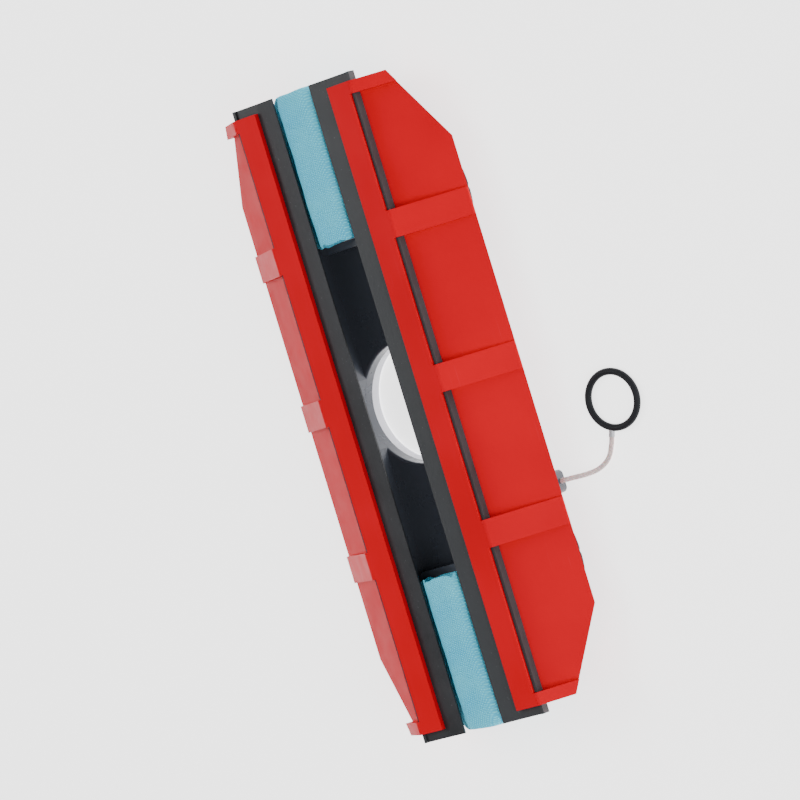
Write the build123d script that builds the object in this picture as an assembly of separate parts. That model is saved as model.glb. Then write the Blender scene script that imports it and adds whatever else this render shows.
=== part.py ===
"""One unit of a magnetic glass cleaner, lying on its back with the cleaning side up.

Frame: X runs along the blades, Y across them and Z up, out of the cleaning side. The origin is
on the surface that the unit lies on, under its middle. Red side rails stand on a black base and
carry the two blades. Pads at both ends cover magnets, which two dials on the back raise and lower.
"""

from build123d import *
import math
import os

# ---- driving dimensions, mm ----
LENGTH = 275.0  # rails, along X
TOP = 36.0  # flat bands beside the blades
BAND_IN, BAND_OUT = 20.0, 30.6  # the bands' two edges, from the middle
BAND_WALL = 2.3
SLOT = 1.6  # open strip between a band and the sloping wall
EDGE_OUT, EDGE_Z = 59.2, 13.3  # outer edge of the sloping wall
WALL = 2.5
END_RIM = 5.5
RIB_CENTRES = (-74.5, -6.5, 62.0)
RIB_WIDTH = 12.0
POCKET_DEPTH = 5.5  # of each bay beside the slot
POCKET_LIP = 1.5  # of each bay at the outer edge
INNER_WALL = 24.0  # the rail's inner side, from the middle
END_CUT_Y, END_CUT_Z = 45.0, 26.0  # where the slanting cut meets the rail's end
END_CUT_RUN = 34.5  # length of the slanting cut along X
UNDERCUT = 0.73  # how far the cut runs inward for each mm down

BLADE_OVERHANG = 4.0  # past each end of the rails
BLADE_WALL = 2.2
BLADE_TIP = 10.3  # middle to the wiping edge
BLADE_EDGE = 2.6
BLADE_RISE = 0.9
BEAD = 4.2
CLEAR = 0.15

BASE_LOW, BASE_HIGH = 5.7, 12.0
BASE_SIDE, BASE_END = 53.0, 133.0
BASE_END_SIDE, BASE_TAPER = 33.0, 32.0
CURB_IN, CURB_OUT, CURB_TOP = 22.2, 23.8, 30.2  # black walls beside the middle channel
HOLE_RADIUS = 27.0
LINER_WALL = 1.5  # of the pale tube behind the plate, and of the black collar in front of it
COLLAR_CLEAR = 0.3
CELL_X = 101.5  # middle of each magnet, its housing and its well
WELL = (57.0, 34.0)
WELL_FLOOR = 1.5
FOOT_LOW = 0.5

DIAL_X, DIAL_RADIUS, DIAL_TOP = 81.0, 51.4, 5.4
STUD_RADIUS, STUD_TOP, STUD_CLEAR = 5.0, 9.3, 0.3
CLIP_RADIUS = 7.0
NOTCHES, NOTCH_RADIUS, NOTCH_CENTRE_OUT = 36, 1.6, 0.7
HOUSING = (61.0, 38.0, 20.8)  # length, width, top
HOUSING_ROOF = 1.5
MAGNET = (52.0, 30.0, 7.0)
MAGNET_TOP = 19.0  # raised; it drops 2.5 mm when a dial is turned all the way
YOKE_WALL, YOKE_HOLE = 2.0, 8.0

PAD_IN, PAD_OUT = 76.0, 142.0  # along X
PAD_CROWN, PAD_SKIRT = 9.7, 16.0  # half widths
PAD_TOP, PAD_STEP, PAD_FOOT = TOP + 0.6, TOP - 7.0, 22.0
BACKING_IN, BACKING_OUT = 74.5, 131.0

SCREW_PLACES = [(x, 48.0) for x in (-45.0, -12.0, 12.0, 45.0)]
SCREW_RADIUS, SCREW_TOP = 1.5, 15.5
HEAD_RADIUS, HEAD = 2.9, 1.6
POST_RADIUS = 3.6

ANCHOR_X, ANCHOR_OUT = 50.0, 57.5
CORD_DIAMETER = 2.2
CRIMP_LENGTH, CRIMP_RADIUS = 3.4, 1.3
CRIMP_GRIP = 0.8  # how far the crimp closes round the ring
RING_RADIUS, RING_WIRE = 12.0, 1.5
CORD_POINTS = [
    (50.0, 57.5, 8.5),
    (50.0, 63.0, 8.5),
    (50.4, 68.3, 6.2),
    (50.0, 73.5, 3.0),
    (47.5, 78.3, 1.3),
    (43.2, 81.7, 1.3),
    (38.2, 83.7, 1.3),
]

SLOT_OUT = BAND_OUT + SLOT


def face_of(points, rounds=()):
    """A flat face with straight sides; rounds gives (corner, radius) pairs to soften."""
    face = Sketch() + make_face(Polyline(*points, close=True))
    for (a, b), radius in rounds:
        corner = [v for v in face.vertices() if math.hypot(v.X - a, v.Y - b) < 0.01]
        face = fillet(corner, radius)
    return face


def along_x(face, x_from, x_to):
    """A (Y, Z) section swept straight from x_from to x_to."""
    return extrude(Plane.YZ.offset(x_from) * face, x_to - x_from)


def block(x, y, z):
    """A box between the two limits given on each axis."""
    size = [pair[1] - pair[0] for pair in (x, y, z)]
    return Pos(sum(x) / 2, sum(y) / 2, sum(z) / 2) * Box(*size)


def centred(x, y, size, z):
    """A box of that length and width round (x, y), between two heights."""
    return block((x - size[0] / 2, x + size[0] / 2), (y - size[1] / 2, y + size[1] / 2), z)


def post(radius, x, y, low, high):
    """An upright round bar."""
    return Pos(x, y, (low + high) / 2) * Cylinder(radius, high - low)


def other_side(shape):
    """The same piece on the other side of the unit's middle."""
    return mirror(shape, Plane.XZ)


def end_cut(sign):
    """What the slanting, undercut end takes off a rail on the +Y side."""
    start = Vector(sign * LENGTH / 2, END_CUT_Y, END_CUT_Z)
    along = Vector(-sign * END_CUT_RUN, EDGE_OUT - END_CUT_Y, EDGE_Z - END_CUT_Z)
    normal = along.cross(Vector(0, UNDERCUT, 1))
    if normal.Y < 0:
        normal = normal * -1
    outward = (Align.CENTER, Align.CENTER, Align.MIN)
    return Plane(origin=start, z_dir=normal) * Box(400, 400, 200, align=outward)


def bays():
    """The X limits of the pockets between the end rims and the ribs."""
    edges = [-LENGTH / 2 + END_RIM]
    for centre in RIB_CENTRES:
        edges += [centre - RIB_WIDTH / 2, centre + RIB_WIDTH / 2]
    edges.append(LENGTH / 2 - END_RIM)
    return list(zip(edges[0::2], edges[1::2]))


def rail():
    """A red side rail: flat band, slots, recessed sloping bays between ribs, hollow below."""
    half = LENGTH / 2
    hull = [
        (BAND_IN, TOP), (SLOT_OUT, TOP), (EDGE_OUT, EDGE_Z), (EDGE_OUT - 1, BASE_HIGH),
        (INNER_WALL, BASE_HIGH), (INNER_WALL, TOP - 5.5), (BAND_IN, TOP - BAND_WALL),
    ]
    body = along_x(face_of(hull, [((SLOT_OUT, TOP), 2.0), ((EDGE_OUT, EDGE_Z), 1.0)]), -half, half)

    high, low = TOP - POCKET_DEPTH, EDGE_Z - POCKET_LIP
    slope = (high - low) / (EDGE_OUT - BAND_OUT)
    beyond = 8.0
    pocket = face_of(
        [(BAND_OUT, TOP + beyond), (BAND_OUT, high), (EDGE_OUT + beyond, low - slope * beyond),
         (EDGE_OUT + beyond, TOP + beyond)]
    )
    sheet_z = TOP - BAND_WALL
    sheet = block((-half - 9, half + 9), (0, SLOT_OUT), (sheet_z - BLADE_WALL - 2 * CLEAR, sheet_z))
    middle = sheet_z - CLEAR - BLADE_WALL / 2
    reach = BEAD / 2 + CLEAR
    bead = block((-half - 9, half + 9), (BAND_OUT, SLOT_OUT + 2 * CLEAR), (middle - reach, middle + reach))
    for cut in [sheet, bead] + [along_x(pocket, a, b) for a, b in bays()]:
        body -= cut

    roof = high - WALL * math.hypot(1, slope)
    ceiling = roof - 0.4
    inside = INNER_WALL + WALL
    below = 3.0
    hollow = face_of(
        [(inside, BASE_HIGH - below), (inside, ceiling), (BAND_OUT + 0.4 / slope, ceiling),
         (BAND_OUT + (roof - BASE_HIGH + below) / slope, BASE_HIGH - below)]
    )
    body -= along_x(hollow, -half + WALL, half - WALL) - end_wall(1) - end_wall(-1)
    for x, y in SCREW_PLACES:
        top = roof - slope * (y - BAND_OUT) + 0.3
        body += post(POST_RADIUS, x, y, BASE_HIGH, top)
        body -= post(SCREW_RADIUS + 0.05, x, y, BASE_HIGH - 1, SCREW_TOP + 0.3)
    body -= post(HOLE_RADIUS + LINER_WALL + COLLAR_CLEAR, 0, 0, 0, CURB_TOP + COLLAR_CLEAR)
    for sign in (-1, 1):
        body -= end_cut(sign)
    return body


def end_wall(sign):
    """The wall that a slanting end leaves standing round the rail's hollow."""
    return Pos(-sign * WALL * 1.2, -WALL * 1.2, 0) * end_cut(sign)


def blade():
    """One squeegee: a sheet that rises to a thin wiping edge, with a square bead along its root."""
    top = TOP - BAND_WALL - CLEAR
    low = top - BLADE_WALL
    middle = (top + low) / 2
    points = [
        (BLADE_TIP, top + BLADE_RISE),
        (BLADE_TIP, top + BLADE_RISE - 0.9),
        (BLADE_TIP + BLADE_EDGE, low + BLADE_RISE * 0.7),
        (BAND_IN - 0.5, low),
        (BAND_OUT + CLEAR, low),
        (BAND_OUT + CLEAR, middle - BEAD / 2),
        (SLOT_OUT, middle - BEAD / 2),
        (SLOT_OUT, middle + BEAD / 2),
        (BAND_OUT + CLEAR, middle + BEAD / 2),
        (BAND_OUT + CLEAR, top),
        (BAND_IN - 0.5, top),
    ]
    half = LENGTH / 2 + BLADE_OVERHANG
    return along_x(face_of(points), -half, half)


def base():
    """The black back plate: a finger hole, walls beside the channel, magnet wells, screw holes."""
    side, end, narrow = BASE_SIDE, BASE_END, BASE_END_SIDE
    knee = BASE_END - BASE_TAPER
    quarter = [(end, narrow), (knee, side)]
    points = quarter + [(-x, y) for x, y in reversed(quarter)]
    points += [(-x, -y) for x, y in quarter] + [(x, -y) for x, y in reversed(quarter)]
    plate = Pos(0, 0, BASE_LOW) * extrude(face_of(points), BASE_HIGH - BASE_LOW)
    plate -= post(HOLE_RADIUS, 0, 0, 0, 20)
    rim = plate.edges().filter_by(GeomType.CIRCLE).sort_by(Axis.Z)[-1]
    plate = fillet(rim, 1.3)
    for sign in (-1, 1):
        across = sorted((sign * CURB_IN, sign * CURB_OUT))
        curb = block((-BASE_END, BASE_END), across, (BASE_HIGH - 1, CURB_TOP))
        plate += curb - post(HOLE_RADIUS, 0, 0, 0, CURB_TOP + 1) + collar(sign)
        plate -= centred(sign * CELL_X, 0, WELL, (BASE_LOW + WELL_FLOOR, BASE_HIGH + 1))
        plate -= post(STUD_RADIUS + STUD_CLEAR, sign * DIAL_X, 0, 0, 20)
        for x, y in SCREW_PLACES:
            plate -= post(SCREW_RADIUS + 0.2, x, sign * y, 0, 20)
            plate -= post(HEAD_RADIUS + 0.3, x, sign * y, 0, BASE_LOW + HEAD + 0.1)
    lug = block((ANCHOR_X - 5, ANCHOR_X + 5), (BASE_SIDE - 1, ANCHOR_OUT), (BASE_LOW, BASE_HIGH - 1))
    return plate + fillet(lug.edges().filter_by(Axis.Z).group_by(Axis.Y)[-1], 2.4)


def collar(sign):
    """The arc of wall that carries a curb round the finger hole."""
    ring = post(HOLE_RADIUS + LINER_WALL, 0, 0, BASE_HIGH - 1, CURB_TOP)
    ring -= post(HOLE_RADIUS, 0, 0, 0, CURB_TOP + 1)
    beyond = sorted((sign * CURB_IN, sign * (HOLE_RADIUS + LINER_WALL)))
    return ring & block((-HOLE_RADIUS, HOLE_RADIUS), beyond, (0, CURB_TOP))


def liner():
    """The pale tube that lines the finger hole behind the plate."""
    outer = post(HOLE_RADIUS + LINER_WALL, 0, 0, FOOT_LOW, BASE_LOW)
    return outer - post(HOLE_RADIUS, 0, 0, 0, BASE_HIGH)


def housing(sign):
    """The box over a magnet, which the pad sits on."""
    outer = centred(sign * CELL_X, 0, HOUSING[:2], (BASE_HIGH, HOUSING[2]))
    outer = fillet(outer.edges().filter_by(Axis.Z), 3.0)
    room = centred(sign * CELL_X, 0, WELL, (BASE_HIGH - 1, HOUSING[2] - HOUSING_ROOF))
    return outer - room


def magnet(sign):
    top = (MAGNET_TOP - MAGNET[2], MAGNET_TOP)
    body = centred(sign * CELL_X, 0, MAGNET[:2], top)
    return chamfer(body.edges().group_by(Axis.Z)[-1], 0.6)


def yoke(sign):
    """The steel plate under a magnet, with a hole that clears the dial's clip."""
    high = MAGNET_TOP - MAGNET[2]
    plate = centred(sign * CELL_X, 0, MAGNET[:2], (high - YOKE_WALL, high))
    return plate - post(YOKE_HOLE, sign * DIAL_X, 0, 0, 30)


def dial(sign):
    """A force dial: a wide disc with grip notches, a raised finger bar and a short stud."""
    x = sign * DIAL_X
    disc = post(DIAL_RADIUS, x, 0, 0, DIAL_TOP)
    disc = fillet(disc.edges().filter_by(GeomType.CIRCLE), 1.2)
    dish = post(DIAL_RADIUS - 9, x, 0, -1, 2.6) - centred(x, 0, (DIAL_RADIUS * 2, 13), (-2, 4))
    disc -= dish
    for i in range(NOTCHES):
        turn = 2 * math.pi * i / NOTCHES
        reach = DIAL_RADIUS + NOTCH_CENTRE_OUT
        disc -= post(NOTCH_RADIUS, x + reach * math.cos(turn), reach * math.sin(turn), -1, 8)
    return disc + post(STUD_RADIUS, x, 0, DIAL_TOP, STUD_TOP)


def dial_clip(sign):
    """The ring that keeps a dial's stud in the base."""
    low = BASE_LOW + WELL_FLOOR + 0.3
    ring = post(CLIP_RADIUS, sign * DIAL_X, 0, low, low + 1.1)
    return ring - post(STUD_RADIUS, sign * DIAL_X, 0, 0, 20)


def pad(sign):
    """One soft pad: a crown between the blades on a wider skirt below them."""
    x = sorted((sign * PAD_IN, sign * PAD_OUT))
    crown = block(x, (-PAD_CROWN, PAD_CROWN), (PAD_STEP - 1, PAD_TOP))
    crown = fillet(crown.edges().filter_by(Axis.X).group_by(Axis.Z)[-1], 4.0)
    return crown + block(x, (-PAD_SKIRT, PAD_SKIRT), (PAD_FOOT, PAD_STEP))


def backing(sign):
    """The pale hook strip between a pad and its housing."""
    x = sorted((sign * BACKING_IN, sign * BACKING_OUT))
    return block(x, (-PAD_SKIRT + 2, PAD_SKIRT - 2), (HOUSING[2], PAD_FOOT))


def screws():
    """The screws that hold the rails on the base."""
    group = Part()
    seat = BASE_LOW + HEAD + 0.1
    for sign in (-1, 1):
        for x, y in SCREW_PLACES:
            group += post(SCREW_RADIUS, x, sign * y, seat, SCREW_TOP)
            head = post(HEAD_RADIUS, x, sign * y, seat - HEAD, seat)
            group += head - block((x - 2, x + 2), (sign * y - 0.5, sign * y + 0.5), (0, seat - HEAD + 0.8))
    return group


def cord_path():
    """The cord's centre line: straight runs joined by arcs as large as the runs allow."""
    points = [Vector(*p) for p in CORD_POINTS]
    radii = []
    for before, here, after in zip(points, points[1:], points[2:]):
        turn = math.radians((here - before).get_angle(after - here))
        shorter = min((here - before).length, (after - here).length)
        radii.append(0.45 * shorter / math.tan(turn / 2))
    print("cord radii", [round(r, 1) for r in radii])
    return FilletPolyline(*points, radius=radii)


def safety_cord():
    path = cord_path()
    start = Plane(origin=path @ 0, z_dir=path % 0)
    tube = sweep(start * Circle(CORD_DIAMETER / 2), path=path)
    ideal = math.pi * (CORD_DIAMETER / 2) ** 2 * path.length
    print("cord length", round(path.length, 1), "volume ratio", round(tube.volume / ideal, 4))
    return tube


def cord_end():
    """The cord's far end and the direction that it points in."""
    end = Vector(*CORD_POINTS[-1])
    return end, (end - Vector(*CORD_POINTS[-2])).normalized()


def crimp():
    """The sleeve that closes the cord on the ring."""
    end, towards = cord_end()
    from_end = (Align.CENTER, Align.CENTER, Align.MIN)
    return Plane(origin=end, z_dir=towards) * Cylinder(CRIMP_RADIUS, CRIMP_LENGTH, align=from_end)


def finger_ring():
    """The ring worn on a finger, lying flat beyond the crimp."""
    end, towards = cord_end()
    centre = end + towards * (CRIMP_LENGTH - CRIMP_GRIP + RING_RADIUS + RING_WIRE)
    return Pos(centre.X, centre.Y, RING_WIRE) * Torus(RING_RADIUS, RING_WIRE)


def build():
    rear_rail, rear_blade = rail(), blade()
    nodes = {
        "rear_rail": rear_rail,
        "front_rail": other_side(rear_rail),
        "rear_blade": rear_blade,
        "front_blade": other_side(rear_blade),
        "base": base(),
        "hole_liner": liner(),
        "rail_screws": screws(),
        "safety_cord": safety_cord(),
        "cord_crimp": crimp(),
        "finger_ring": finger_ring(),
    }
    for sign, word in ((-1, "left"), (1, "right")):
        nodes["housing_" + word] = housing(sign)
        nodes["magnet_" + word] = magnet(sign)
        nodes["yoke_" + word] = yoke(sign)
        nodes["dial_" + word] = dial(sign)
        nodes["dial_clip_" + word] = dial_clip(sign)
        nodes["pad_" + word] = pad(sign)
        nodes["backing_" + word] = backing(sign)
    return nodes


os.makedirs("parts", exist_ok=True)
for node, shape in build().items():
    shape.label = node
    export_step(shape, "parts/" + node + ".step")
    print(node, round(shape.volume))
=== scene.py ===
import math

import bmesh
import bpy
from mathutils import Matrix, Vector, noise


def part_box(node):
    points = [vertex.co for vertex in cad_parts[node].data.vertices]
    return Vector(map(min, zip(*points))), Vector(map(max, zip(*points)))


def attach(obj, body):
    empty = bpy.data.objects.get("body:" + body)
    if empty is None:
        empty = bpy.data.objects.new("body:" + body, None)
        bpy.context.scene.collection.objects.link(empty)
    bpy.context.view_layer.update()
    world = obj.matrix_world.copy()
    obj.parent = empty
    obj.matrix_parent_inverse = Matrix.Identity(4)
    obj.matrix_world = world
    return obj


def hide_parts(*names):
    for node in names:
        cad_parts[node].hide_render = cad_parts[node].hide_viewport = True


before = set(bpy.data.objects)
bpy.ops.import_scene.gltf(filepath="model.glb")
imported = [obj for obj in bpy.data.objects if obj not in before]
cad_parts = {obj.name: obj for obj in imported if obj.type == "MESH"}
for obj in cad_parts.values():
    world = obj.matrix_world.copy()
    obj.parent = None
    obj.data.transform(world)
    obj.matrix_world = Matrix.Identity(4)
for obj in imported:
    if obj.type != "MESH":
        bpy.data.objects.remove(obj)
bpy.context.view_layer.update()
MM = 0.001

# ---- camera ----
TILT = math.radians(35.6)  # from straight above, towards the side with the cord
ROLL = math.radians(17.0)  # how far the long axis leans in the picture
DISTANCE = 2.0  # metres from AIM
FIELD = 0.339  # metres across the picture at the height of AIM
AIM = Vector((-0.0026, 0.0093, 0.036))  # what the middle of the picture shows
SENSOR = 36.0  # millimetres across
CLIP_END = 20.0

# ---- studio ----
LIGHTS = [  # name, place, size in metres, power in watts
    ("key", (-0.55, -0.75, 1.25), 0.9, 10.0),
    ("fill", (0.5, 1.1, 0.9), 1.0, 11.0),
    ("top", (0.1, 0.1, 1.7), 1.2, 7.0),
]
LIT_POINT = Vector((0, 0, 0.02))
ROOM_STRENGTH = 0.32
FLOOR_SIZE = 12.0
FLOOR_DROP = 0.2 * MM  # leaves the floor just under the lowest faces
FLOOR_GLOW = 2.2  # the floor's own light, because the weak lights alone leave it grey

# ---- rails ----
RAILS = ("front_rail", "rear_rail")
RAIL_EDGE = 0.45 * MM  # how wide their edges are rounded
RAIL_EDGE_STEPS = 2
SHARP_EDGE = math.radians(38)  # an edge that turns by more is rounded
WELD_DISTANCE = 0.01 * MM

# ---- pads ----
PAD_SEEDS = {"left": 3.7, "right": 11.3}
PAD_SIDES = 96  # points round a loop of cloth
PAD_RINGS = 42  # loops along the pad, without the hem and the dome
PAD_DOME_RINGS = 14
PAD_CAP_STEPS = (0.75, 0.5, 0.25)  # smaller loops that close each end
PAD_SQUARENESS = 3.4  # power of the section's superellipse
PAD_SIDE_GAP = 0.15 * MM  # inside the CAD box
PAD_TOP_GAP = 0.3 * MM
PAD_OVERLAP = 2.4 * MM  # how far the cloth reaches past its core, over the strip below it
PAD_CROWN = 9.5 * MM  # half width between the blades; the skirt below them fills the CAD box
PAD_STEP = 29.0 * MM  # height at which the skirt gives way to the crown
PAD_STEP_SPREAD = 1.6 * MM  # about half the height over which it does so
PAD_FULL = 0.985  # share of the section at both ends of the straight part
PAD_BULGE = 0.015  # share gained where the pad bulges most
PAD_BULGE_REACH = 0.625  # share of the straight part that bulges, from the hem on
PAD_HEM = 2.2 * MM
HEM_FOLD = [  # from inside out: distance from the hem's edge in hem widths, share of the section
    (2.6, 0.80),
    (1.4, 0.83),
    (0.5, 0.88),
    (0.0, 0.945),
    (0.35, 0.985),
]
HEM_INSIDE = 3  # how many of those loops lie inside the pad
HEM_WAVE = 1.5 * MM
HEM_WAVE_REACH = 9.0 * MM  # how far from the hem the waves fade out
HEM_WAVE_LEAN = 0.35  # share of a wave that pulls the whole hem back
HEM_WAVE_SCALE = (2.4, 4.2)  # how fast the waves change across the pad and up it
PAD_END_DOME = 7.0 * MM  # length of the rounded end
DOME_DROP = 0.26  # share of the section lost over the dome
DOME_LAST_DROP = 0.30  # the same at its last loop
DOME_SAG = 0.8 * MM
DOME_SAG_REACH = 14.0 * MM  # how far from the end it fades out
DOME_SAG_EVEN = 0.7  # share of the sag that is the same all over
DOME_SAG_SCALE = (90, 60)  # dents to a metre, across the pad and up it
PAD_WRINKLE = 0.45 * MM
PAD_WRINKLE_LIMIT = 1.03  # no wrinkle widens the pad by more than this
PAD_WRINKLE_INSIDE = 0.25  # share of the wrinkles that the hem's inside has
CREASE_SHARE = 0.7  # of the wrinkles: small dents all over
FOLD_SHARE = 0.5  # of the wrinkles: folds that run round the pad
CREASE_SCALE = (95, 160, 70)  # dents to a metre, along X, Y and Z
FOLD_SCALE = 240  # folds to a metre
FOLD_TURN = 1.4  # how fast a fold changes on its way round

# ---- pads' cloth and its backing: stitch spacing, and degrees from the long axis ----
CLOTH_PITCH = 0.95 * MM
CLOTH_TURN = 32.0
BACKING_PITCH = 0.8 * MM
BACKING_TURN = 0.0

# ---- colours ----
WHITE = (1.0, 1.0, 1.0)
FLOOR_TONES = ((0.90, 0.90, 0.90), (0.93, 0.93, 0.93))
CLEAN_RUBBER = (0.011, 0.013, 0.016)
DUSTY_RUBBER = (0.024, 0.027, 0.031)
RUBBER_FLECKS = (0.11, 0.12, 0.13)
BRAID_STRANDS = (0.86, 0.74, 0.72)
# painted shade: the braid's gaps drawn darker than its strands
BRAID_GAP_SHADE = (0.62, 0.47, 0.46)
CLOTH_SHEEN = (0.85, 0.95, 1.0)

# ---- cord, in millimetres as in the part's source ----
CORD_DIAMETER = 2.2
CORD_ROUNDNESS = 6  # steps in the section
CORD_STEPS = 24  # steps between two points
CORD_POINTS = [
    (50.0, 57.5, 8.5),
    (50.0, 63.0, 8.5),
    (50.4, 68.3, 6.2),
    (50.0, 73.5, 3.0),
    (47.5, 78.3, 1.3),
    (43.2, 81.7, 1.3),
    (38.2, 83.7, 1.3),
]


# ======================= scene =======================


def make_camera():
    """Looks down on the cleaning side, with the long axis leaning in the picture."""
    across = Vector((0, math.cos(TILT), -math.sin(TILT)))
    forward = Vector((0, -math.sin(TILT), -math.cos(TILT)))
    along = Vector((1, 0, 0))
    right = along * math.sin(ROLL) + across * math.cos(ROLL)
    up = -(along * math.cos(ROLL) - across * math.sin(ROLL))
    data = bpy.data.cameras.new("camera")
    data.sensor_width = SENSOR
    data.lens = SENSOR * DISTANCE / FIELD
    data.clip_end = CLIP_END
    camera = bpy.data.objects.new("camera", data)
    bpy.context.scene.collection.objects.link(camera)
    camera.matrix_world = Matrix.Translation(AIM - forward * DISTANCE) @ Matrix(
        (
            (right.x, up.x, -forward.x, 0),
            (right.y, up.y, -forward.y, 0),
            (right.z, up.z, -forward.z, 0),
            (0, 0, 0, 1),
        )
    )
    bpy.context.scene.camera = camera


def area_light(name, position, size, power):
    """A round soft light that faces the object."""
    data = bpy.data.lights.new(name, "AREA")
    data.shape = "DISK"
    data.size = size
    data.energy = power
    light = bpy.data.objects.new(name, data)
    bpy.context.scene.collection.objects.link(light)
    light.location = position
    light.rotation_euler = (LIT_POINT - Vector(position)).to_track_quat("-Z", "Y").to_euler()


def make_studio():
    """A pale floor, a pale room and soft lights."""
    for light in LIGHTS:
        area_light(*light)
    world = bpy.data.worlds.new("pale_room")
    bpy.context.scene.world = world
    world.use_nodes = True
    background = world.node_tree.nodes["Background"]
    background.inputs["Color"].default_value = rgba(WHITE)
    background.inputs["Strength"].default_value = ROOM_STRENGTH
    bpy.ops.mesh.primitive_plane_add(size=FLOOR_SIZE, location=(0, 0, -FLOOR_DROP))
    floor = bpy.context.object
    floor.name = "floor"
    floor.data.materials.append(plain_floor())


# ======================= material helpers =======================


def node(tree, kind, inputs=(), **settings):
    """Adds a shader node; an input value that is a socket is linked."""
    made = tree.nodes.new(kind)
    for key, value in settings.items():
        setattr(made, key, value)
    for socket, value in dict(inputs).items():
        if isinstance(value, bpy.types.NodeSocket):
            tree.links.new(value, made.inputs[socket])
        else:
            made.inputs[socket].default_value = value
    return made


def material(name):
    """A new material, with its node tree and its shader."""
    made = bpy.data.materials.new(name)
    made.use_nodes = True
    return made, made.node_tree, made.node_tree.nodes["Principled BSDF"]


def set_even(shader, values):
    """Sets what is the same all over the surface, on the shader's own sockets."""
    for socket, value in values.items():
        shader.inputs[socket].default_value = value


def place(tree):
    """Coordinates in metres, fixed to the piece."""
    return node(tree, "ShaderNodeTexCoord").outputs["Object"]


def drawn_out(tree, where, along, across):
    """Coordinates that turn noise of scale 1 into streaks along X; both numbers are per metre."""
    return node(tree, "ShaderNodeMapping", {"Vector": where, "Scale": (along, across, across)}).outputs[0]


def noise_at(tree, where, scale, detail=3.0, roughness=0.55):
    """Noise from 0 to 1, with about scale lumps to a metre, and finer ones by detail and roughness."""
    inputs = {"Vector": where, "Scale": scale, "Detail": detail, "Roughness": roughness}
    return node(tree, "ShaderNodeTexNoise", inputs).outputs["Fac"]


def remap(tree, value, low, high, to_low, to_high):
    """Takes low to to_low and high to to_high, and goes no further."""
    inputs = {"Value": value, "From Min": low, "From Max": high, "To Min": to_low, "To Max": to_high}
    return node(tree, "ShaderNodeMapRange", inputs).outputs["Result"]


def math_node(tree, operation, first, second):
    return node(tree, "ShaderNodeMath", {0: first, 1: second}, operation=operation).outputs[0]


def mix_colour(tree, factor, first, second):
    made = node(tree, "ShaderNodeMix", {0: factor, 6: first, 7: second}, data_type="RGBA")
    return made.outputs[2]


def bump(tree, height, distance, strength, under=None):
    """Raised by height times distance in metres, on top of the bump under it."""
    inputs = {"Height": height, "Distance": distance, "Strength": strength}
    if under is not None:
        inputs["Normal"] = under
    return node(tree, "ShaderNodeBump", inputs).outputs["Normal"]


def rgba(colour, gain=1.0):
    return tuple(min(c * gain, 1.0) for c in colour) + (1.0,)


def link(tree, value, shader, socket):
    tree.links.new(value, shader.inputs[socket])


# ======================= materials =======================


def plain_floor():
    made, tree, shader = material("floor_white")
    tone = noise_at(tree, place(tree), 3.0)
    darker, lighter = FLOOR_TONES
    link(tree, mix_colour(tree, tone, rgba(darker), rgba(lighter)), shader, "Base Color")
    glow = {"Emission Color": rgba(WHITE), "Emission Strength": FLOOR_GLOW}
    set_even(shader, {"Roughness": 0.8, **glow})
    return made


def moulded_plastic(name, colour, worn, roughness, scuffs, grain=0.02 * MM, ior=1.45):
    """Injection-moulded plastic: broad flow marks, fine grain, and thin scuffs in the worn colour."""
    made, tree, shader = material(name)
    where = place(tree)
    flow = remap(tree, noise_at(tree, where, 22.0, 2.0), 0.3, 0.7, 0, 1)
    base = mix_colour(tree, flow, rgba(colour, 0.92), rgba(colour, 1.05))
    streaks = noise_at(tree, drawn_out(tree, where, 35.0, 1300.0), 1.0, 4.0, 0.6)
    patches = noise_at(tree, where, 45.0, 2.0)
    strongest = remap(tree, streaks, 0.60, 0.80, 0, 1)
    marks = math_node(tree, "MULTIPLY", strongest, remap(tree, patches, 0.56, 0.75, 0, scuffs))
    link(tree, mix_colour(tree, marks, base, rgba(worn)), shader, "Base Color")
    uneven = remap(tree, noise_at(tree, where, 130.0, 3.0), 0.3, 0.7, roughness - 0.05, roughness + 0.07)
    rubbed = math_node(tree, "MULTIPLY", marks, 0.3)
    link(tree, math_node(tree, "ADD", uneven, rubbed), shader, "Roughness")
    waves = bump(tree, noise_at(tree, where, 30.0, 1.0), 0.6 * MM, 0.25)
    fine = noise_at(tree, where, 1500.0, 2.0)
    link(tree, bump(tree, fine, grain, 0.6, waves), shader, "Normal")
    set_even(shader, {"IOR": ior})
    return made


def red_plastic():
    """Its IOR is lower than plastic's, so that slopes seen edge-on keep their colour."""
    return moulded_plastic(
        "red_rail", colour=(0.66, 0.0, 0.010), worn=(0.80, 0.09, 0.11), roughness=0.40, scuffs=0.4, ior=1.13
    )


def pale_plastic():
    return moulded_plastic(
        "pale_liner", colour=(0.80, 0.80, 0.86), worn=(0.6, 0.6, 0.62), roughness=0.45, scuffs=0.2
    )


def black_plastic():
    return moulded_plastic(
        "black_plastic", colour=(0.058, 0.066, 0.084), worn=(0.14, 0.15, 0.17), roughness=0.30, scuffs=0.4
    )


def dial_plastic():
    """Coarser than the other plastics, with a lowered IOR as the red one has."""
    return moulded_plastic(
        "dial_plastic", colour=(0.018, 0.019, 0.022), worn=(0.1, 0.1, 0.1), roughness=0.45, scuffs=0.3,
        grain=0.06 * MM, ior=1.2,
    )


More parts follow.
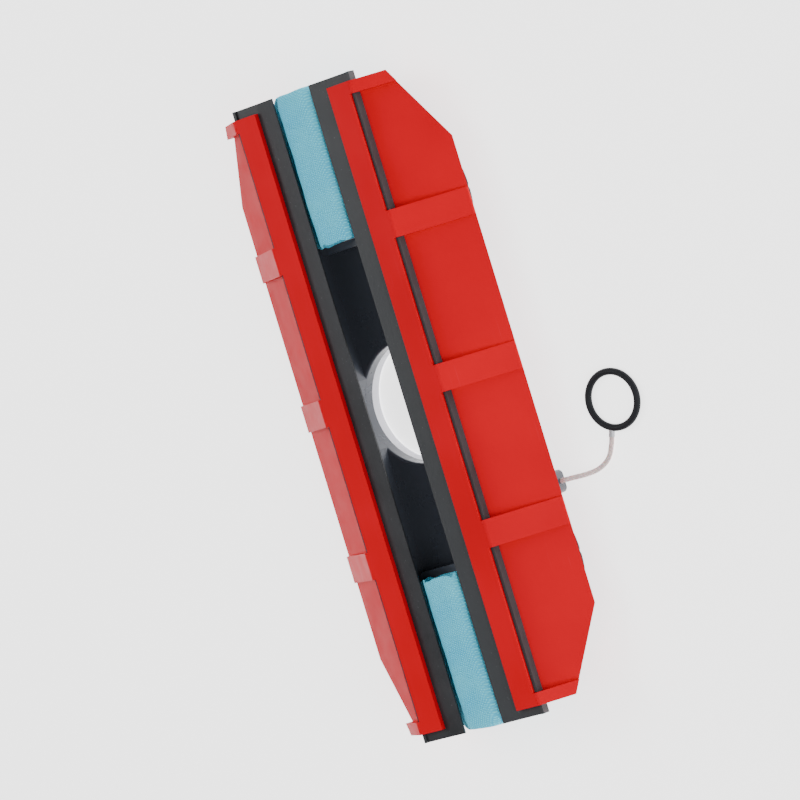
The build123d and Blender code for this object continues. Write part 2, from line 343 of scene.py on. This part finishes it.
def rubber():
    """Extruded rubber: lines along its length, a dusty bloom and small flecks."""
    made, tree, shader = material("blade_rubber")
    where = place(tree)
    bloom = noise_at(tree, where, 38.0, 5.0, 0.65)
    dust = remap(tree, bloom, 0.35, 0.7, 0, 1)
    dusty = mix_colour(tree, dust, rgba(CLEAN_RUBBER), rgba(DUSTY_RUBBER))
    flecks = remap(tree, noise_at(tree, where, 900.0, 1.0), 0.72, 0.78, 0, 0.35)
    link(tree, mix_colour(tree, flecks, dusty, rgba(RUBBER_FLECKS)), shader, "Base Color")
    link(tree, remap(tree, bloom, 0.3, 0.7, 0.42, 0.62), shader, "Roughness")
    set_even(shader, {"Sheen Weight": 0.03, "Sheen Roughness": 0.5})
    extruded = noise_at(tree, drawn_out(tree, where, 6.0, 1400.0), 1.0, 2.0)
    long_marks = bump(tree, extruded, 0.12 * MM, 0.5)
    pores = noise_at(tree, where, 2200.0, 2.0)
    link(tree, bump(tree, pores, 0.03 * MM, 0.6, long_marks), shader, "Normal")
    return made


def stitches(tree, where, pitch, turn):
    """Crossing rows of stitches, a pitch apart and turned by turn degrees from the long axis."""
    parts = node(tree, "ShaderNodeSeparateXYZ", {0: where})
    girth = math_node(tree, "ADD", parts.outputs["Y"], parts.outputs["Z"])  # roughly round the piece
    flat = node(tree, "ShaderNodeCombineXYZ", {0: parts.outputs["X"], 1: girth, 2: 0.0})
    warp = node(tree, "ShaderNodeTexNoise", {"Vector": where, "Scale": 120.0, "Detail": 2.0})
    shift = {0: warp.outputs["Color"], 1: (0.8 * MM, 0.8 * MM, 0.0)}
    drift = node(tree, "ShaderNodeVectorMath", shift, operation="MULTIPLY")
    laid = node(tree, "ShaderNodeVectorMath", {0: flat.outputs[0], 1: drift.outputs[0]}, operation="ADD")
    turning = {"Vector": laid.outputs[0], "Rotation": (0, 0, math.radians(turn))}
    turned = node(tree, "ShaderNodeMapping", turning)
    rows = []
    for direction in ("X", "Y"):
        bands = {"Vector": turned.outputs[0], "Scale": math.pi / (10 * pitch)}  # one band to a pitch
        wave = node(tree, "ShaderNodeTexWave", bands, bands_direction=direction, wave_profile="SIN")
        rows.append(wave.outputs["Fac"])
    return math_node(tree, "MULTIPLY", *rows)


def knit(name, light, dark, pitch, turn):
    """Knitted microfibre: small raised stitches with fuzz; the light tone on their tops is a painted
    highlight and the dark tone between them is painted shade.
    """
    made, tree, shader = material(name)
    where = place(tree)
    stitch = stitches(tree, where, pitch, turn)
    # painted highlight on the stitch tops and painted shade between stitches, both following the stitch
    # height
    shade = mix_colour(tree, remap(tree, stitch, 0.0, 0.8, 0.1, 1), rgba(dark), rgba(light))
    paler = remap(tree, noise_at(tree, where, 60.0, 3.0), 0.35, 0.7, 0, 0.28)
    link(tree, mix_colour(tree, paler, shade, rgba(light, 1.1)), shader, "Base Color")
    sheen = {"Sheen Weight": 0.06, "Sheen Roughness": 0.45, "Sheen Tint": rgba(CLOTH_SHEEN)}
    set_even(shader, {"Roughness": 0.88, "Specular IOR Level": 0.25, **sheen})
    fuzz = math_node(tree, "MULTIPLY", noise_at(tree, where, 2600.0, 3.0, 0.7), 0.35)
    height = math_node(tree, "ADD", stitch, fuzz)
    link(tree, bump(tree, height, 0.24 * MM, 0.9), shader, "Normal")
    return made


def metal(name, colour, roughness):
    """Metal with fine lines along X and faint stains."""
    made, tree, shader = material(name)
    where = place(tree)
    grain = noise_at(tree, drawn_out(tree, where, 45.0, 900.0), 1.0, 3.0)
    stain = noise_at(tree, where, 70.0, 3.0)
    link(tree, mix_colour(tree, stain, rgba(colour, 0.8), rgba(colour, 1.1)), shader, "Base Color")
    link(tree, remap(tree, grain, 0.3, 0.7, roughness - 0.06, roughness + 0.1), shader, "Roughness")
    link(tree, bump(tree, grain, 0.02 * MM, 0.5), shader, "Normal")
    set_even(shader, {"Metallic": 1.0})
    return made


def braid():
    """Pale, slightly clear braided line, with painted shade in the gaps between its strands."""
    made, tree, shader = material("cord_braid")
    where = place(tree)
    cells = node(tree, "ShaderNodeTexVoronoi", {"Vector": where, "Scale": 1300.0}).outputs["Distance"]
    # darker towards the gaps between strands: painted shade
    between = remap(tree, cells, 0.1, 0.7, 0, 1)
    link(tree, mix_colour(tree, between, rgba(BRAID_STRANDS), rgba(BRAID_GAP_SHADE)), shader, "Base Color")
    set_even(shader, {"Roughness": 0.4, "Subsurface Weight": 0.3, "Subsurface Scale": 1.0 * MM})
    link(tree, bump(tree, cells, -0.25 * MM, 0.8), shader, "Normal")
    return made


def paint(finish, *names):
    """Gives CAD nodes a finish in place of the plain one that they came with."""
    for name in names:
        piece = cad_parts[name]
        piece.data.materials.clear()
        piece.data.materials.append(finish)


def soften_rail(name):
    """Rounds a rail's sharp edges a little, as a mould does."""
    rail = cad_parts[name]
    weld = rail.modifiers.new("weld", "WELD")
    weld.merge_threshold = WELD_DISTANCE
    edge = rail.modifiers.new("edge", "BEVEL")
    edge.width = RAIL_EDGE
    edge.segments = RAIL_EDGE_STEPS
    edge.limit_method = "ANGLE"
    edge.angle_limit = SHARP_EDGE


# ======================= pads =======================


def superellipse(angle, power):
    """A point of a unit superellipse: 2 is a circle, more is squarer."""
    c, s = math.cos(angle), math.sin(angle)
    return (
        math.copysign(abs(c) ** (2 / power), c),
        math.copysign(abs(s) ** (2 / power), s),
    )


def pad_half_width(z, skirt):
    """Half the pad's width at height z: the skirt below the blades, the crown between them."""
    rise = 1.0 / (1.0 + math.exp(-(z - PAD_STEP) / (PAD_STEP_SPREAD / 3)))
    return skirt + (PAD_CROWN - skirt) * rise


def pad_profile(span):
    """Each loop's distance from the hem's edge and its share of the full section, hem first."""
    profile = [(PAD_HEM * widths, share) for widths, share in HEM_FOLD]
    for i in range(PAD_RINGS):
        t = i / (PAD_RINGS - 1)
        share = PAD_FULL + PAD_BULGE * math.sin(math.pi * min(t / PAD_BULGE_REACH, 1.0))
        profile.append((PAD_HEM + t * (span - PAD_END_DOME - PAD_HEM), share))
    for i in range(1, PAD_DOME_RINGS + 1):
        turn = i / PAD_DOME_RINGS * math.pi / 2
        drop = DOME_DROP * (1 - math.cos(turn)) if i < PAD_DOME_RINGS else DOME_LAST_DROP
        profile.append((span - PAD_END_DOME + PAD_END_DOME * math.sin(turn), 1.0 - drop))
    return profile


def loop_angle(i):
    """Where point i of a loop lies, as an angle round the pad."""
    return 2 * math.pi * i / PAD_SIDES


def pad_loop(middle, half, x, share, seed, wrinkle):
    """One wrinkled loop of cloth round the pad at x."""
    loop = []
    skirt, height = half
    along, across, upward = CREASE_SCALE
    for i in range(PAD_SIDES):
        angle = loop_angle(i)
        c, s = superellipse(angle, PAD_SQUARENESS)
        z = s * height * share
        y = c * pad_half_width(middle[1] + s * height, skirt) * share
        crease = noise.noise(Vector((x * along, y * across, z * upward + seed)))
        fold = noise.noise(Vector((x * FOLD_SCALE, seed, angle * FOLD_TURN)))
        out = 1.0 + (crease * CREASE_SHARE + fold * FOLD_SHARE) * wrinkle / PAD_CROWN
        loop.append(Vector((x, middle[0] + y * min(out, PAD_WRINKLE_LIMIT), middle[1] + z)))
    return loop


def shape_ends(loop, side, reach, span, seed):
    """Moves a loop's points along the pad: the hem waves, and the domed end sags unevenly."""
    near_hem = max(0.0, 1.0 - reach / HEM_WAVE_REACH)
    near_end = max(0.0, (reach - span + DOME_SAG_REACH) / DOME_SAG_REACH)
    for i, point in enumerate(loop):
        angle = loop_angle(i)
        across, upward = HEM_WAVE_SCALE
        wave = noise.noise(Vector((math.cos(angle) * across, math.sin(angle) * upward, seed)))
        across, upward = DOME_SAG_SCALE
        sag = noise.noise(Vector((point.y * across, point.z * upward, seed)))
        point.x += side * near_hem * (wave + HEM_WAVE_LEAN) * HEM_WAVE
        point.x -= side * near_end * (sag + DOME_SAG_EVEN) * DOME_SAG


def add_band(mesh, first, second):
    """Faces between two loops of vertices."""
    for i in range(PAD_SIDES):
        j = (i + 1) % PAD_SIDES
        mesh.faces.new((first[i], first[j], second[j], second[i]))


def close_end(mesh, loop):
    """Fills a loop with ever smaller ones and a face in the middle."""
    centre = sum((vertex.co for vertex in loop), Vector()) / len(loop)
    outer = loop
    for shrink in PAD_CAP_STEPS:
        inner = [mesh.verts.new(centre.lerp(vertex.co, shrink)) for vertex in loop]
        add_band(mesh, outer, inner)
        outer = inner
    mesh.faces.new(outer)


def make_pad(node_name, seed):
    """A cloth sleeve pulled over a core: domed at the unit's end, with a wavy hem at its inner end."""
    low, high = (Vector(corner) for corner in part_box(node_name))
    side = 1 if low.x + high.x > 0 else -1
    hem_x = (low.x if side > 0 else high.x) - side * PAD_OVERLAP
    end_x = high.x if side > 0 else low.x
    span = abs(end_x - hem_x)
    middle = ((low.y + high.y) / 2, (low.z + high.z) / 2)
    half = ((high.y - low.y) / 2 - PAD_SIDE_GAP, (high.z - low.z) / 2 - PAD_TOP_GAP)
    mesh = bmesh.new()
    loops = []
    for k, (reach, share) in enumerate(pad_profile(span)):
        wrinkle = PAD_WRINKLE * (PAD_WRINKLE_INSIDE if k < HEM_INSIDE else 1.0)
        loop = pad_loop(middle, half, hem_x + side * reach, share, seed, wrinkle)
        shape_ends(loop, side, reach, span, seed)
        loops.append([mesh.verts.new(point) for point in loop])
    for first, second in zip(loops, loops[1:]):
        add_band(mesh, first, second)
    for loop in (loops[0], loops[-1]):
        close_end(mesh, loop)
    bmesh.ops.recalc_face_normals(mesh, faces=mesh.faces)
    data = bpy.data.meshes.new(node_name + "_cloth")
    mesh.to_mesh(data)
    mesh.free()
    data.polygons.foreach_set("use_smooth", [True] * len(data.polygons))
    piece = bpy.data.objects.new(node_name + "_cloth", data)
    bpy.context.scene.collection.objects.link(piece)
    smooth = piece.modifiers.new("smooth", "SUBSURF")
    smooth.levels = 1
    smooth.render_levels = 1
    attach(piece, "unit")
    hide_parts(node_name)
    return piece


# ======================= cord =======================


def make_cord(finish):
    """The safety cord on one smooth curve, from the base down to the floor and the ring."""
    curve = bpy.data.curves.new("safety_cord_line", "CURVE")
    curve.dimensions = "3D"
    curve.bevel_depth = CORD_DIAMETER / 2 * MM
    curve.bevel_resolution = CORD_ROUNDNESS
    curve.resolution_u = CORD_STEPS
    curve.use_fill_caps = True
    spline = curve.splines.new("NURBS")
    spline.points.add(len(CORD_POINTS) - 1)
    for point, (x, y, z) in zip(spline.points, CORD_POINTS):
        point.co = (x * MM, y * MM, z * MM, 1.0)
    spline.order_u = 3
    spline.use_endpoint_u = True
    curve.materials.append(finish)
    piece = bpy.data.objects.new("safety_cord_line", curve)
    bpy.context.scene.collection.objects.link(piece)
    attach(piece, "unit")
    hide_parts("safety_cord")


# ======================= everything =======================

make_camera()
make_cord(braid())
make_studio()

red = red_plastic()
black_rubber = rubber()
black = black_plastic()
dark = dial_plastic()
zinc = metal("screw_steel", colour=(0.55, 0.55, 0.56), roughness=0.35)
nickel = metal("magnet_plating", colour=(0.72, 0.73, 0.75), roughness=0.18)
steel = metal("yoke_steel", colour=(0.45, 0.45, 0.47), roughness=0.38)
# light and dark: the painted highlight on stitch tops and the painted shade between stitches, for this
# cloth and for the backing below
cloth = knit(
    "pad_cloth", light=(0.19, 0.84, 1.0), dark=(0.04, 0.45, 0.74), pitch=CLOTH_PITCH, turn=CLOTH_TURN
)
hook = knit(
    "pad_backing", light=(0.86, 0.87, 0.88), dark=(0.62, 0.64, 0.66), pitch=BACKING_PITCH, turn=BACKING_TURN
)

paint(red, *RAILS)
paint(black_rubber, "front_blade", "rear_blade")
paint(black, "base", "housing_left", "housing_right")
paint(pale_plastic(), "hole_liner")
paint(zinc, "rail_screws")
for word, seed in PAD_SEEDS.items():
    paint(nickel, "magnet_" + word)
    paint(steel, "yoke_" + word)
    paint(hook, "backing_" + word)
    paint(dark, "dial_" + word)
    paint(zinc, "dial_clip_" + word)
    make_pad("pad_" + word, seed).data.materials.append(cloth)
paint(dark, "finger_ring")
paint(steel, "cord_crimp")
for name in RAILS:
    soften_rail(name)
